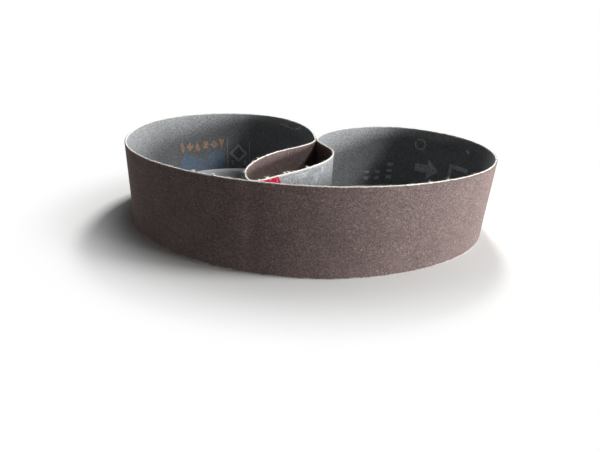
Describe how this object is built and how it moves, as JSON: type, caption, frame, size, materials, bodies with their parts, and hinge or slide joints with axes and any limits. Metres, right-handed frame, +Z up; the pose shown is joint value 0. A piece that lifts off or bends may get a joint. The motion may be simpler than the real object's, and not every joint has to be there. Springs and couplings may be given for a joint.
{
  "type": "sanding belt",
  "caption": "Endless cloth sanding belt, grit outside, standing on one edge and coiled into two lobes with a narrow pocket pushed in between them.",
  "frame": {"origin": "centre of the outer box, on the surface that the belt's lower edge stands on", "axes": "+X to the right along the coil's longest side, +Y from the long front wall towards the neck between the lobes, +Z up along the belt's width"},
  "size_m": [0.2434, 0.1908, 0.05],
  "materials": {
    "coated_cloth": "dry brown abrasive grit bonded to woven cotton cloth"
  },
  "bodies": {
    "root": {"sanding_belt": "coated_cloth"}
  },
  "joints": []
}
